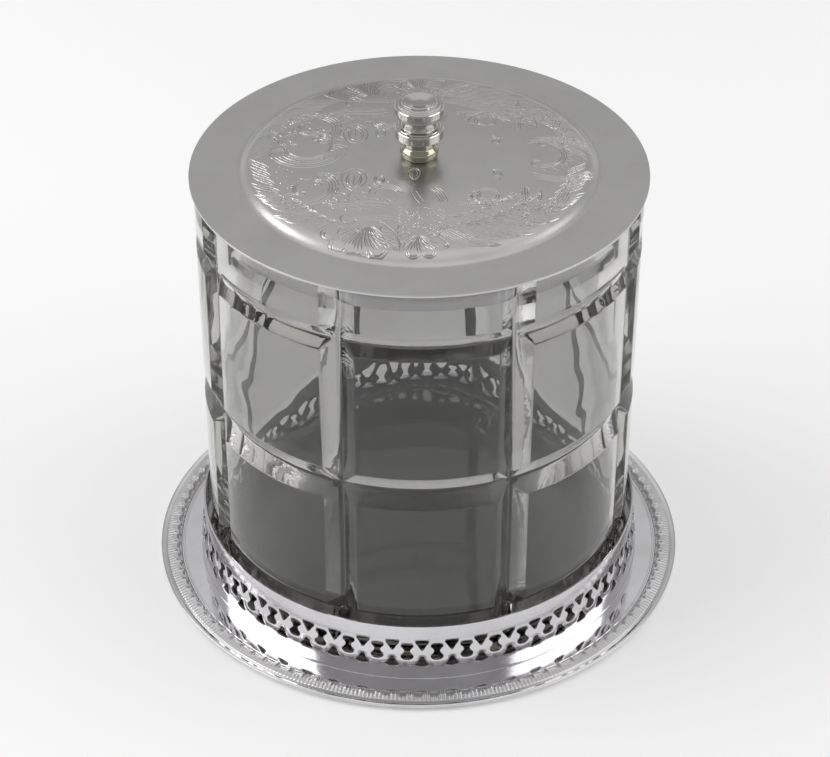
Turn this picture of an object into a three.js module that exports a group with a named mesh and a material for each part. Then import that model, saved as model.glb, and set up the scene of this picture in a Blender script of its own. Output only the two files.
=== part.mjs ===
// A biscuit jar: a thick cut-glass jar that stands inside the pierced gallery of a plated tray,
// under a lift-off lid with a turned knob.
// Millimetres, +Z up. The origin is the centre of the tray's underside, and the front is -Y.
import * as THREE from "three";

// Tray
const plateThickness = 1.2;
const ledgeWidth = 7.35; // of plain plate between the gallery's foot and the border
const lipRadius = 0.85; // of the rolled edge's round section
const lipRise = 1.2; // of the rolled edge above the plate
const borderWidth = 5.6;
const borderHeight = 2.3;
const borderGap = 0.25; // between the border and the rolled edge
const scallopCount = 104;
const scallopDip = 0.7; // how far the border sinks between two scallops
const scallopIndent = 0.35; // how far its edges draw in there

// Gallery, the upright band that the jar stands in
const galleryClearance = 1.8; // round the jar's widest faces
const galleryThickness = 0.8;
const galleryHeight = 22;
const galleryFlareWidth = 1.6;
const galleryFlareHeight = 2.4;
const lowerPlainBand = 3.7; // unpierced, measured from the plate
const upperPlainBand = 6.4;
const pierceCount = 48;
const pierceTurn = THREE.MathUtils.degToRad(-2.8); // of one hourglass from the front

// Glass jar
const jarRadius = 75.2; // over the blocks' faces; the tray and the lid take their sizes from it
const jarWall = 2.4; // of glass left behind the deepest grooves
const jarHeight = 155.4;
const jarFloor = 9.5;
const jarFootHeight = 22; // the smooth part below the blocks
const jarFootInset = 2;
const jarCornerRadius = 3.5;
const jarRimRadius = 0.7;
const blockColumns = 8;
const blockTurn = THREE.MathUtils.degToRad(2.15); // of the front column from the front
const blockHeelHeight = 2.8; // of the rounded lower edge of the bottom blocks
const grooveDepth = 3.6; // of the upright and lower grooves, which are V-shaped
const uprightGrooveWidth = 12.6;
const lowerGrooveWidth = 14;
const upperGrooveWidth = 9.4; // this one has the upright grooves' slope

// Lid
const lidOverhang = 1.3; // past the blocks' faces
const lidThickness = 0.8;
const lidRimWidth = 16;
const shoulderWidth = 5.5;
const shoulderRise = 2.6;
const domeRise = 1.9; // from the shoulder to the middle
const collarClearance = 0.6; // between the collar and the glass
const collarThickness = 0.8;
const collarDepth = 8.7;

// Knob and what fastens it
const knobRadius = 8.1;
const knobHeight = 13.2;
const knobFootRadius = 6.5;
const knobFootHeight = 7.6;
const studRadius = 1.9;
const studClearance = 0.15; // round the stud, everywhere
const studReach = 9; // into the knob
const studTail = 0.6; // below the nut
const washerRadius = 6;
const washerThickness = 0.8;
const nutAcrossFlats = 7;
const nutHeight = 2.6;

const seatGap = 0.1; // under the jar and under the lid, which only rest on what carries them

const bandRadius = jarRadius + galleryClearance + galleryThickness; // of the gallery's outer face
const borderInnerRadius = bandRadius + galleryFlareWidth + ledgeWidth;
const borderOuterRadius = borderInnerRadius + borderWidth;
const plateRadius = borderOuterRadius + borderGap + 2 * lipRadius;
const lidRadius = jarRadius + lidOverhang;
const boreRadius = jarRadius - grooveDepth - jarWall; // of the glass

const front = -Math.PI / 2;
const fullTurn = 2 * Math.PI;

const silverPlate = { color: 0xb4b2b3, roughness: 0.24, metalness: 1 };
const polishedPlate = { color: 0xc4c2c6, roughness: 0.14, metalness: 1 };
const brass = { color: 0xc3b98c, roughness: 0.25, metalness: 1 };
const steel = { color: 0x9a9a9c, roughness: 0.4, metalness: 1 };
const glass = { color: 0xe4eae8, roughness: 0.04, metalness: 0, transparent: true, opacity: 0.35 };

function piece(name, geometry, look) {
  const mesh = new THREE.Mesh(geometry, new THREE.MeshStandardMaterial(look));
  mesh.name = name;
  return mesh;
}

// A solid of revolution about +Z. The outline runs anticlockwise in radius and height.
function turned(outline, segments) {
  return new THREE.LatheGeometry(outline, segments).rotateX(Math.PI / 2);
}

function at(radius, angle, height) {
  return new THREE.Vector3(radius * Math.cos(angle), radius * Math.sin(angle), height);
}

function geometryOf(triangles) {
  return new THREE.BufferGeometry().setFromPoints(triangles.flat());
}

// The two triangles of a quad a-b-c-d, cut along the diagonal that holds its proudest corner, so that
// a bevel's mitre runs to the corner of the face. A side that has shrunk to a point gives no triangle.
function quad(a, b, c, d) {
  const out = (p) => Math.hypot(p.x, p.y);
  const alongAC = Math.max(out(a), out(c)) >= Math.max(out(b), out(d));
  const halves = alongAC ? [[a, b, c], [a, c, d]] : [[a, b, d], [b, c, d]];
  return halves.filter(([p, q, r]) => !(p.equals(q) || q.equals(r) || r.equals(p)));
}

// A skin round +Z over one outline for each angle, all with as many points. An outline whose ends
// are not on the axis closes on itself.
function skin(angles, outlines, closed) {
  const rings = angles.map((angle, i) => outlines[i].map(([radius, height]) => at(radius, angle, height)));
  const triangles = [];
  rings.forEach((ring, i) => {
    const next = rings[(i + 1) % rings.length];
    const last = closed ? ring.length : ring.length - 1;
    for (let k = 0; k < last; k += 1) {
      const up = (k + 1) % ring.length;
      triangles.push(...quad(ring[k], next[k], next[up], ring[up]));
    }
  });
  return geometryOf(triangles);
}

// The tray's spun plate: a flat disc whose edge is rolled up into a smooth lip.
function basePlate() {
  const lipCentre = plateRadius - lipRadius;
  const outline = new THREE.Path()
    .moveTo(0, 0)
    .lineTo(lipCentre, 0)
    .absarc(lipCentre, lipRadius, lipRadius, -Math.PI / 2, 0)
    .absarc(lipCentre, plateThickness + lipRise - lipRadius, lipRadius, 0, Math.PI)
    .lineTo(lipCentre - lipRadius, plateThickness)
    .lineTo(0, plateThickness);
  return turned(outline.getPoints(2), 64);
}

// The stamped border inside the lip: a low swelling strip that dips between its scallops.
function beadBorder() {
  const riseShares = [0, 0.42, 1, 0.74, 0];
  const acrossShares = [0, 0.1, 0.62, 0.9, 1];
  const angles = [];
  const outlines = [];
  for (let i = 0; i < 2 * scallopCount; i += 1) {
    const between = i % 2;
    const inset = between * scallopIndent;
    const height = borderHeight - between * scallopDip;
    const width = borderWidth - 2 * inset;
    const section = acrossShares.map((share, k) => [
      borderInnerRadius + inset + share * width,
      riseShares[k] * height,
    ]);
    angles.push(front + (i * fullTurn) / (2 * scallopCount));
    outlines.push(section.reverse());
  }
  return skin(angles, outlines, true);
}

// The outlines of the openings in one repeat of the gallery, as [angle, height] points that run
// anticlockwise seen from outside: an hourglass, and halfway to the next one a fan above a fan.
function piercings(pitch) {
  const height = galleryHeight - lowerPlainBand - upperPlainBand;
  const hourglassShares = [
    [-0.2, 0.21], [0, 0.18], [0.2, 0.21], [0.085, 0.53],
    [0.2, 0.87], [0, 0.9], [-0.2, 0.87], [-0.085, 0.53],
  ];
  const upperFanShares = [[0, 0.58], [0.23, 0.95], [0, 1], [-0.23, 0.95]];
  const lowerFanShares = [[-0.2, 0.04], [0, 0], [0.2, 0.04], [0, 0.4]];
  const place = (centre, shares) =>
    shares.map(([across, up]) => [(centre + across) * pitch, lowerPlainBand + up * height]);
  return [place(-0.25, hourglassShares), place(0.25, upperFanShares), place(0.25, lowerFanShares)];
}

// The pierced band: one repeat is cut flat, bent round the axis and set down all the way round.
// Its outer face ends above a flare that spreads onto the plate.
function galleryBand() {
  const outer = bandRadius;
  const inner = outer - galleryThickness;
  const pitch = fullTurn / pierceCount;
  const sideShares = [-0.5, 0, 0.5];
  const foot = sideShares.map((share) => [share * pitch, galleryFlareHeight]);
  const rim = sideShares.map((share) => [share * pitch, galleryHeight]).reverse();
  const holes = piercings(pitch);
  const flat = (points) => points.map(([across, up]) => new THREE.Vector2(across * outer, up));
  const faces = THREE.ShapeUtils.triangulateShape(flat([...foot, ...rim]), holes.map(flat));
  const points = [...foot, ...rim, ...holes.flat()];
  const flare = [
    [outer, galleryFlareHeight],
    [outer + 0.22 * galleryFlareWidth, 0.4 * galleryFlareHeight],
    [outer + galleryFlareWidth, 0],
    [inner, 0],
  ];
  const triangles = [];
  for (let i = 0; i < pierceCount; i += 1) {
    const centre = front + pierceTurn + (i + 0.25) * pitch;
    const outside = ([across, up]) => at(outer, centre + across, up);
    const inside = ([across, up]) => at(inner, centre + across, up === galleryFlareHeight ? 0 : up);
    for (const [a, b, c] of faces) {
      triangles.push([a, b, c].map((k) => outside(points[k])));
      triangles.push([a, c, b].map((k) => inside(points[k])));
    }
    for (const hole of holes) {
      hole.forEach((p, k) => {
        const q = hole[(k + 1) % hole.length];
        triangles.push(...quad(outside(p), outside(q), inside(q), inside(p)));
      });
    }
    for (let k = 0; k < rim.length - 1; k += 1) {
      triangles.push(...quad(outside(rim[k]), inside(rim[k]), inside(rim[k + 1]), outside(rim[k + 1])));
    }
    for (let k = 0; k < foot.length - 1; k += 1) {
      const left = centre + foot[k][0];
      const right = centre + foot[k + 1][0];
      for (let j = 0; j < flare.length - 1; j += 1) {
        const [upper, lower] = [flare[j], flare[j + 1]];
        triangles.push(...quad(
          at(upper[0], left, upper[1]), at(lower[0], left, lower[1]),
          at(lower[0], right, lower[1]), at(upper[0], right, upper[1]),
        ));
      }
    }
  }
  return geometryOf(triangles);
}

// The jar: a smooth foot, three rows of blocks parted by V-shaped grooves, and a plain bore. A point of
// the outside is as deep as the deeper of the two grooves that pass there, so the grooves meet in mitres.
function glassJar() {
  const bore = boreRadius;
  const foot = jarRadius - jarFootInset;
  const halfPitch = Math.PI / blockColumns;
  const halfGroove = uprightGrooveWidth / 2 / jarRadius;
  const upperDepthShare = Math.min(1, upperGrooveWidth / uprightGrooveWidth);
  const faceEdge = halfPitch - halfGroove;
  const mitre = halfPitch - (1 - upperDepthShare) * halfGroove;
  const acrossColumn = [-mitre, -faceEdge, -faceEdge / 2, 0, faceEdge / 2, faceEdge, mitre, halfPitch];
  const uprightDepth = (across) => grooveDepth * Math.max(0, 1 - (halfPitch - Math.abs(across)) / halfGroove);

  const blockHeight = jarHeight - jarFootHeight;
  const lowerGrooveShare = 0.409; // how far up the blocks' height each groove lies
  const upperGrooveShare = 0.845;
  const lowerGroove = jarFootHeight + lowerGrooveShare * blockHeight;
  const upperGroove = jarFootHeight + upperGrooveShare * blockHeight;
  // Heights up the outside, each with the depth of the level groove there.
  const levels = [
    [jarFootHeight + 0.45 * blockHeelHeight, 0.35 * jarFootInset],
    [jarFootHeight + blockHeelHeight, 0],
    [lowerGroove - lowerGrooveWidth / 2, 0],
    [lowerGroove, grooveDepth],
    [lowerGroove + lowerGrooveWidth / 2, 0],
    [upperGroove - upperGrooveWidth / 2, 0],
    [upperGroove, upperDepthShare * grooveDepth],
    [upperGroove + upperGrooveWidth / 2, 0],
    [jarHeight - jarRimRadius, 0],
  ];

  const corner = jarCornerRadius;
  const heel = new THREE.Path()
    .moveTo(0, 0)
    .lineTo(foot - corner, 0)
    .absarc(foot - corner, corner, corner, -Math.PI / 2, 0)
    .lineTo(foot, jarFootHeight);
  const inside = new THREE.Path()
    .moveTo(bore + jarRimRadius, jarHeight)
    .lineTo(bore, jarHeight - jarRimRadius)
    .lineTo(bore, jarFloor + corner)
    .absarc(bore - corner, jarFloor + corner, corner, 0, -Math.PI / 2, true)
    .lineTo(0, jarFloor);
  const plain = (path) => path.getPoints(1).map((p) => [p.x, p.y]);

  const angles = [];
  const outlines = [];
  for (let column = 0; column < blockColumns; column += 1) {
    for (const across of acrossColumn) {
      const upright = uprightDepth(across);
      const outside = levels.map(([height, depth]) => [jarRadius - Math.max(depth, upright), height]);
      const lip = [outside.at(-1)[0] - jarRimRadius, jarHeight];
      angles.push(front + blockTurn + 2 * column * halfPitch + across);
      outlines.push([...plain(heel), ...outside, lip, ...plain(inside)]);
    }
  }
  return skin(angles, outlines, false);
}

// The lid's sheet, from the stud's hole over the dome, the shoulder and the flat rim to the edge and
// back underneath. Height zero is the underside of the rim.
function lidCover() {
  const hole = studRadius + studClearance;
  const shoulder = lidRadius - lidRimWidth;
  const dome = shoulder - shoulderWidth;
  const land = Math.max(knobFootRadius, washerRadius); // flat, so that both sit square
  const upper = new THREE.Path()
    .moveTo(lidRadius - lidThickness / 4, lidThickness)
    .lineTo(shoulder, lidThickness)
    .bezierCurveTo(
      shoulder - 0.3 * shoulderWidth, lidThickness,
      dome + 0.55 * shoulderWidth, lidThickness + 0.9 * shoulderRise,
      dome, lidThickness + shoulderRise,
    )
    .quadraticCurveTo(
      (dome + land) / 2, lidThickness + shoulderRise + domeRise,
      land, lidThickness + shoulderRise + domeRise,
    )
    .lineTo(hole, lidThickness + shoulderRise + domeRise)
    .getPoints(3);
  const under = upper.slice(1).map((p) => new THREE.Vector2(p.x, p.y - lidThickness)).reverse();
  const edge = [new THREE.Vector2(lidRadius, 0), new THREE.Vector2(lidRadius, 0.7 * lidThickness)];
  const outline = [...upper, ...under, ...edge, upper[0].clone()];
  return turned(outline, 64);
}

// The collar that drops inside the glass: a band soldered under the rim, with a rounded lower edge.
// Height zero is its soldered edge.
function lidCollar() {
  const outer = boreRadius - collarClearance;
  const round = collarThickness / 2;
  const outline = new THREE.Path()
    .moveTo(outer, 0)
    .lineTo(outer - collarThickness, 0)
    .lineTo(outer - collarThickness, round - collarDepth)
    .absarc(outer - round, round - collarDepth, round, Math.PI, fullTurn)
    .lineTo(outer, 0);
  return turned(outline.getPoints(1), 64);
}

// The turned knob, from its bored underside up over the lower ring, the short neck and the stepped
// cap, to the dish in its top.
function finial() {
  const bore = studRadius + studClearance;
  const profileShares = [
    [0.95, 0], [0.985, 0.03], [0.985, 0.24], [0.95, 0.265], [0.73, 0.275],
    [0.7, 0.31], [0.69, 0.42], [0.71, 0.53], [0.88, 0.555], [0.95, 0.6],
    [1, 0.7], [1, 0.85], [0.97, 0.875], [0.88, 0.89], [0.86, 0.93],
    [0.73, 0.95], [0.7, 0.985], [0.66, 1], [0.6, 0.985], [0.3, 0.93],
  ];
  const outside = profileShares.map(([out, up]) => new THREE.Vector2(out * knobRadius, up * knobHeight));
  const outline = [
    new THREE.Vector2(0, studReach + studClearance),
    new THREE.Vector2(bore, studReach + studClearance),
    new THREE.Vector2(bore, 0),
    ...outside,
    new THREE.Vector2(0, 0.915 * knobHeight),
  ];
  return turned(outline, 28);
}

// The bell-shaped cup between the knob and the dome, bored for the stud.
function finialFoot() {
  const bore = studRadius + studClearance;
  const profileShares = [[0.72, 0], [0.94, 0.1], [1, 0.24], [0.95, 0.42], [0.84, 0.64], [0.8, 1]];
  const outside = profileShares.map(
    ([out, up]) => new THREE.Vector2(out * knobFootRadius, up * knobFootHeight),
  );
  const outline = [
    new THREE.Vector2(bore, 0),
    ...outside,
    new THREE.Vector2(bore, knobFootHeight),
    new THREE.Vector2(bore, 0),
  ];
  return turned(outline, 28);
}

// The stud. Height zero is where the knob's foot stands on the dome.
function finialStud() {
  const tip = studRadius / 4;
  const top = knobFootHeight + studReach;
  const bottom = -lidThickness - washerThickness - nutHeight - studTail;
  const outline = [
    new THREE.Vector2(0, bottom),
    new THREE.Vector2(studRadius - tip, bottom),
    new THREE.Vector2(studRadius, bottom + tip),
    new THREE.Vector2(studRadius, top - tip),
    new THREE.Vector2(studRadius - tip, top),
    new THREE.Vector2(0, top),
  ];
  return turned(outline, 24);
}

function finialWasher() {
  const outline = new THREE.Shape().absarc(0, 0, washerRadius, 0, fullTurn);
  outline.holes.push(new THREE.Path().absarc(0, 0, studRadius + studClearance, 0, fullTurn, true));
  const settings = { depth: washerThickness, bevelEnabled: false, curveSegments: 14 };
  return new THREE.ExtrudeGeometry(outline, settings);
}

function finialNut() {
  const cornerRadius = nutAcrossFlats / 2 / Math.cos(Math.PI / 6);
  const corners = [];
  for (let i = 0; i < 6; i += 1) {
    const angle = (i * Math.PI) / 3;
    corners.push(new THREE.Vector2(cornerRadius * Math.cos(angle), cornerRadius * Math.sin(angle)));
  }
  const outline = new THREE.Shape(corners);
  outline.holes.push(new THREE.Path().absarc(0, 0, studRadius + studClearance, 0, fullTurn, true));
  const settings = { depth: nutHeight, bevelEnabled: false, curveSegments: 12 };
  return new THREE.ExtrudeGeometry(outline, settings);
}

// The tray: the plate on the ground, with the border and the gallery soldered on it.
const tray = new THREE.Group();
const border = piece("bead_border", beadBorder(), silverPlate);
border.position.z = plateThickness;
const gallery = piece("gallery_band", galleryBand(), polishedPlate);
gallery.position.z = plateThickness;
tray.add(piece("base_plate", basePlate(), polishedPlate), border, gallery);

const jar = piece("glass_jar", glassJar(), glass);
jar.position.z = plateThickness + seatGap;

// The lid, from the underside of its rim.
const lid = new THREE.Group();
lid.position.z = jar.position.z + jarHeight + seatGap;
lid.add(piece("lid_cover", lidCover(), silverPlate), piece("lid_collar", lidCollar(), polishedPlate));

// The knob's stack, from the top of the dome.
const knob = new THREE.Group();
knob.position.z = lidThickness + shoulderRise + domeRise;
const cap = piece("finial", finial(), polishedPlate);
cap.position.z = knobFootHeight;
const washer = piece("finial_washer", finialWasher(), steel);
washer.position.z = -lidThickness - washerThickness;
const nut = piece("finial_nut", finialNut(), steel);
nut.position.z = washer.position.z - nutHeight;
const cup = piece("finial_foot", finialFoot(), brass);
const stud = piece("finial_stud", finialStud(), steel);
knob.add(cap, cup, stud, washer, nut);
lid.add(knob);

const biscuitJar = new THREE.Group();
biscuitJar.add(tray, jar, lid);

export default biscuitJar;
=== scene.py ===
import math

import bmesh
import bpy
import numpy as np
from mathutils import Matrix, kdtree
from mathutils.geometry import delaunay_2d_cdt


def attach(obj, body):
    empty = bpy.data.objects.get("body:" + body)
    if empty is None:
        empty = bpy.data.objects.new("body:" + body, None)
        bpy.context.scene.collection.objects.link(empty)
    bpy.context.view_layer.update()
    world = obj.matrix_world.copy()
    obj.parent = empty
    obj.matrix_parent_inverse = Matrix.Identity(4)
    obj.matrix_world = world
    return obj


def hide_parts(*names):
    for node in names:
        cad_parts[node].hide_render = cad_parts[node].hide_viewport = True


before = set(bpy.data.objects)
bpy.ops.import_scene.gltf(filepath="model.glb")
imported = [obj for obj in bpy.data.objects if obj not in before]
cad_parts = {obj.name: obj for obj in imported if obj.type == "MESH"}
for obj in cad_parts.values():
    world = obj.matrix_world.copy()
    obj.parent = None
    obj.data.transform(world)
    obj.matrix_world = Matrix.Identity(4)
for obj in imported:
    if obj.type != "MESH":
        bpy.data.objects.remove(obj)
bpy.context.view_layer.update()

# The camera stands in front of the jar and looks down on it. Its place and lens were fitted to the
# outlines of the lid and of the tray.
camera_place = (0.0, -0.7212, 0.59424)
camera_pitch, camera_yaw, camera_roll = (math.radians(angle) for angle in (35.971, 0.108, 0.053))
focal_pixels = 2530.5
picture_width_pixels = 830
sensor_width = 36.0


def added(name, data):
    """A new object of the scene."""
    thing = bpy.data.objects.new(name, data)
    bpy.context.scene.collection.objects.link(thing)
    return thing


camera_data = bpy.data.cameras.new("camera")
camera_data.sensor_width = sensor_width
camera_data.lens = focal_pixels * sensor_width / picture_width_pixels
camera = added("camera", camera_data)
camera.matrix_world = (
    Matrix.Translation(camera_place)
    @ Matrix.Rotation(camera_yaw, 4, "Z")
    @ Matrix.Rotation(math.pi / 2 - camera_pitch, 4, "X")
    @ Matrix.Rotation(camera_roll, 4, "Z")
)
bpy.context.scene.camera = camera
light_bounces = 32  # light passes many walls of the thick cut glass
bpy.context.scene.cycles.max_bounces = light_bounces
bpy.context.scene.cycles.transmission_bounces = light_bounces
bpy.context.scene.cycles.glossy_bounces = light_bounces


# The studio: a pale floor, a soft sky that is palest at the horizon, and a large soft lamp on each
# side, which the plate throws back as bright bands.
class Wire:
    """A value on its way through a material. The usual operators add the Math nodes."""

    def __init__(self, finish, socket):
        self.finish = finish
        self.socket = socket

    def maths(self, operation, *values):
        return self.finish.node("ShaderNodeMath", dict(enumerate(values)), operation=operation)

    def __add__(self, other):
        return self.maths("ADD", self, other)

    def __sub__(self, other):
        return self.maths("SUBTRACT", self, other)

    def __mul__(self, other):
        return self.maths("MULTIPLY", self, other)

    def __rsub__(self, other):
        return self.maths("SUBTRACT", other, self)

    __radd__ = __add__
    __rmul__ = __mul__

    def clipped(self, low, high):
        """0 below low, 1 above high, and smooth between them."""
        inputs = {"Value": self, "From Min": low, "From Max": high}
        return self.finish.node("ShaderNodeMapRange", inputs, interpolation_type="SMOOTHSTEP")


class Finish:
    """The node tree of a material or of the world, or a group, and the one way to add a node to it."""

    def __init__(self, owner):
        self.owner = owner
        self.tree = owner
        if not isinstance(owner, bpy.types.NodeTree):
            owner.use_nodes = True
            self.tree = owner.node_tree
            self.tree.nodes.clear()

    def node(self, kind, inputs=None, output=0, **settings):
        node = self.tree.nodes.new(kind)
        for key, value in settings.items():
            setattr(node, key, value)
        for key, value in (inputs or {}).items():
            if isinstance(value, Wire):
                self.tree.links.new(value.socket, node.inputs[key])
            else:
                node.inputs[key].default_value = value
        return Wire(self, node.outputs[output]) if node.outputs else None

    def mixed(self, mask, colour, other):
        """The first colour where the mask is 0, the other one where it is 1."""
        inputs = {0: mask, 6: colour, 7: other}
        return self.node("ShaderNodeMix", inputs, output=2, data_type="RGBA")

    def noise(self, scale, detail=2.0, stretch=(1, 1, 1), roughness=0.5):
        """A cloudy pattern of so many waves per metre, fixed to the object."""
        place = self.node("ShaderNodeTexCoord", output=3)
        place = self.node("ShaderNodeMapping", {"Vector": place, "Scale": stretch})
        inputs = {"Vector": place, "Scale": scale, "Detail": detail, "Roughness": roughness}
        return self.node("ShaderNodeTexNoise", inputs)


sky_white = (1, 1, 1, 1)
pale_level = 0.85  # of the sky at the horizon and overhead
middle_level_behind, middle_level_before = 0.46, 0.37
turn_of_middle = (-0.5, 0.5)  # depths between which one goes over into the other
end_of_horizon = (0.02, 0.26)  # heights between which the pale horizon goes over into the middle
start_of_zenith = (0.68, 0.92)
zenith_slant = 0.2  # the pale sky overhead reaches further down behind the jar

sky = Finish(bpy.data.worlds.new("soft_sky"))
direction = sky.node("ShaderNodeTexCoord", output=0)
height = sky.node("ShaderNodeSeparateXYZ", {0: direction}, output=2)
depth = sky.node("ShaderNodeSeparateXYZ", {0: direction}, output=1)
middle = depth.clipped(*turn_of_middle) * (middle_level_behind - middle_level_before) + middle_level_before
level = middle + (1 - height.clipped(*end_of_horizon)) * (pale_level - middle)
level = level + (height + depth * zenith_slant).clipped(*start_of_zenith) * (pale_level - middle)
glow = sky.node("ShaderNodeBackground", {"Color": sky_white, "Strength": level})
sky.node("ShaderNodeOutputWorld", {"Surface": glow})
bpy.context.scene.world = sky.owner
bpy.context.scene.view_settings.view_transform = "Standard"

lamp_distance = 1.25
lamp_width, lamp_height = 1.1, 0.5
# Of each lamp: degrees round from the front, degrees up, and radiance.
lamps = {"left_lamp": (-86, 38, 3.1), "right_lamp": (80, 37, 2.1)}
for lamp_name, (turn, rise, radiance) in lamps.items():
    lamp_data = bpy.data.lights.new(lamp_name, "AREA")
    lamp_data.shape = "RECTANGLE"
    lamp_data.size = lamp_width
    lamp_data.size_y = lamp_height
    lamp_data.energy = radiance * math.pi * lamp_width * lamp_height
    lamp = added(lamp_name, lamp_data)
    turn, rise = math.radians(turn), math.radians(rise)
    lamp.matrix_world = (
        Matrix.Rotation(turn, 4, "Z")
        @ Matrix.Rotation(math.pi / 2 - rise, 4, "X")
        @ Matrix.Translation((0, 0, lamp_distance))
    )

floor_reach = 6.0
floor_white = (0.93, 0.93, 0.93, 1)
floor_lift = 0.15
seen_rays = ("Is Camera Ray", "Is Glossy Ray", "Is Transmission Ray")
floor_mesh = bpy.data.meshes.new("floor")
floor_corners = [(x * floor_reach, y * floor_reach, 0) for x, y in ((-1, -1), (1, -1), (1, 1), (-1, 1))]
floor_mesh.from_pydata(floor_corners, [], [(0, 1, 2, 3)])
floor = added("floor", floor_mesh)
paper = Finish(bpy.data.materials.new("floor_paper"))
matt = paper.node("ShaderNodeBsdfDiffuse", {"Color": floor_white})
seen = sum(paper.node("ShaderNodeLightPath", output=name) for name in seen_rays).clipped(0, 1)
lift = paper.node("ShaderNodeEmission", {"Color": floor_white, "Strength": seen * floor_lift})
both = paper.node("ShaderNodeAddShader", {0: matt, 1: lift})
paper.node("ShaderNodeOutputMaterial", {"Surface": both})
floor_mesh.materials.append(paper.owner)


# The base plate: a disc of brass, spun and silver plated, with its edge rolled up into a smooth lip.
# A fine step is cut just inside the border.
MM = 0.001
FULL_TURN = 2 * math.pi


def rounded(corners, steps=4):
    """An outline through corners of (radius, height, fillet), with a short straight run by each fillet."""
    longest, run = 0.4, 1.2  # of a fillet as a share of its sides, and of the point beside it
    path = [corners[0][:2]]
    for before, corner, after in zip(corners, corners[1:], corners[2:]):
        here = np.array(corner[:2], float)
        if len(corner) == 2:
            path.append(tuple(here))
            continue
        back, ahead = np.array(before[:2]) - here, np.array(after[:2]) - here
        back_length, ahead_length = np.hypot(*back), np.hypot(*ahead)
        back, ahead = back / back_length, ahead / ahead_length
        half_angle = math.acos(max(-1, min(1, float(back @ ahead)))) / 2
        reach = min(corner[2] / math.tan(half_angle), longest * back_length, longest * ahead_length)
        start, end = here + back * reach, here + ahead * reach
        path.append(tuple(here + back * run * reach))
        for step in range(steps + 1):
            share = step / steps
            point = (1 - share) ** 2 * start + 2 * share * (1 - share) * here + share**2 * end
            path.append(tuple(point))
        path.append(tuple(here + ahead * run * reach))
    return path + [corners[-1][:2]]


def shell(name, points, faces):
    """A smooth mesh object in metres from points in millimetres, with doubled points merged."""
    weld = 0.0005 * MM
    mesh = bpy.data.meshes.new(name)
    mesh.from_pydata((np.asarray(points, float) * MM).tolist(), [], faces)
    work = bmesh.new()
    work.from_mesh(mesh)
    bmesh.ops.remove_doubles(work, verts=work.verts, dist=weld)
    bmesh.ops.dissolve_degenerate(work, edges=work.edges, dist=weld)
    work.to_mesh(mesh)
    work.free()
    mesh.shade_smooth()
    return added(name, mesh)


def polar(radius, turn, *height):
    """Points from their distance from the axis, their turn round it and, in space, their height."""
    return np.stack([radius * np.cos(turn), radius * np.sin(turn), *height], -1)


def skin(outlines, angles, whole=True, ring=False):
    """Points and faces of a skin over one outline of (radius, height) for each angle round +Z."""
    outlines, turns = np.asarray(outlines, float), np.asarray(angles, float)[:, None]
    count, length = outlines.shape[:2]
    points = polar(outlines[..., 0], turns, outlines[..., 1]).reshape(-1, 3)
    faces = []
    for i in range(count if whole else count - 1):
        j = (i + 1) % count
        for k in range(length if ring else length - 1):
            up = (k + 1) % length
            faces.append((i * length + k, j * length + k, j * length + up, i * length + up))
    return points, faces


def turned(name, outline, steps=192, ring=False):
    """A piece spun round +Z. A ring's outline closes on itself, and any other one ends on the axis."""
    angles = np.arange(steps) * FULL_TURN / steps
    return shell(name, *skin([outline] * steps, angles, ring=ring))


def placed(thing, finish, body, node):
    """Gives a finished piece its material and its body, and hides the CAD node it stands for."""
    thing.data.materials.clear()
    thing.data.materials.append(finish)
    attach(thing, body)
    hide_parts(node)


def marked(thing, name, value_at):
    """Stores a value for each point of a piece, worked out from its place in millimetres."""
    mark = thing.data.attributes.new(name, "FLOAT", "POINT")
    for number, vertex in enumerate(thing.data.vertices):
        mark.data[number].value = value_at(*(value / MM for value in vertex.co))


def plated(name, tone, darkening, rough, wear, grain=0.02, cut=None, grime_and_shade=0.45):
    """Silver plate: a clouded tone, fine scratches, and a darker tone where an attribute marks it, for grime
    in cuts and for painted shade.
    """
    grime_and_shade_tone = (0.25, 0.24, 0.23, 1)
    hair_width = 0.03  # as a share of its length
    plate = Finish(bpy.data.materials.new(name))
    clouds = plate.noise(38, detail=5, roughness=0.6).clipped(0.35, 0.75)
    colour = plate.mixed(clouds, (*tone, 1), (*darkening, 1))
    dullness = clouds * 0.03 + rough
    if cut:
        groove = plate.node("ShaderNodeAttribute", output=2, attribute_name=cut)
        colour = plate.mixed(groove * grime_and_shade, colour, grime_and_shade_tone)
    across = plate.noise(1500, detail=2, stretch=(1, hair_width, 1))
    along = plate.noise(1500, detail=2, stretch=(hair_width, 1, 1))
    dullness = dullness + (across + along).clipped(1.15, 1.35) * wear
    relief = plate.noise(260, detail=3)
    bump = plate.node("ShaderNodeBump", {"Height": relief, "Strength": grain, "Distance": 0.4 * MM})
    inputs = {"Base Color": colour, "Metallic": 1.0, "Roughness": dullness, "Normal": bump}
    surface = plate.node("ShaderNodeBsdfPrincipled", inputs)
    plate.node("ShaderNodeOutputMaterial", {"Surface": surface})
    return plate.owner


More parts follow.
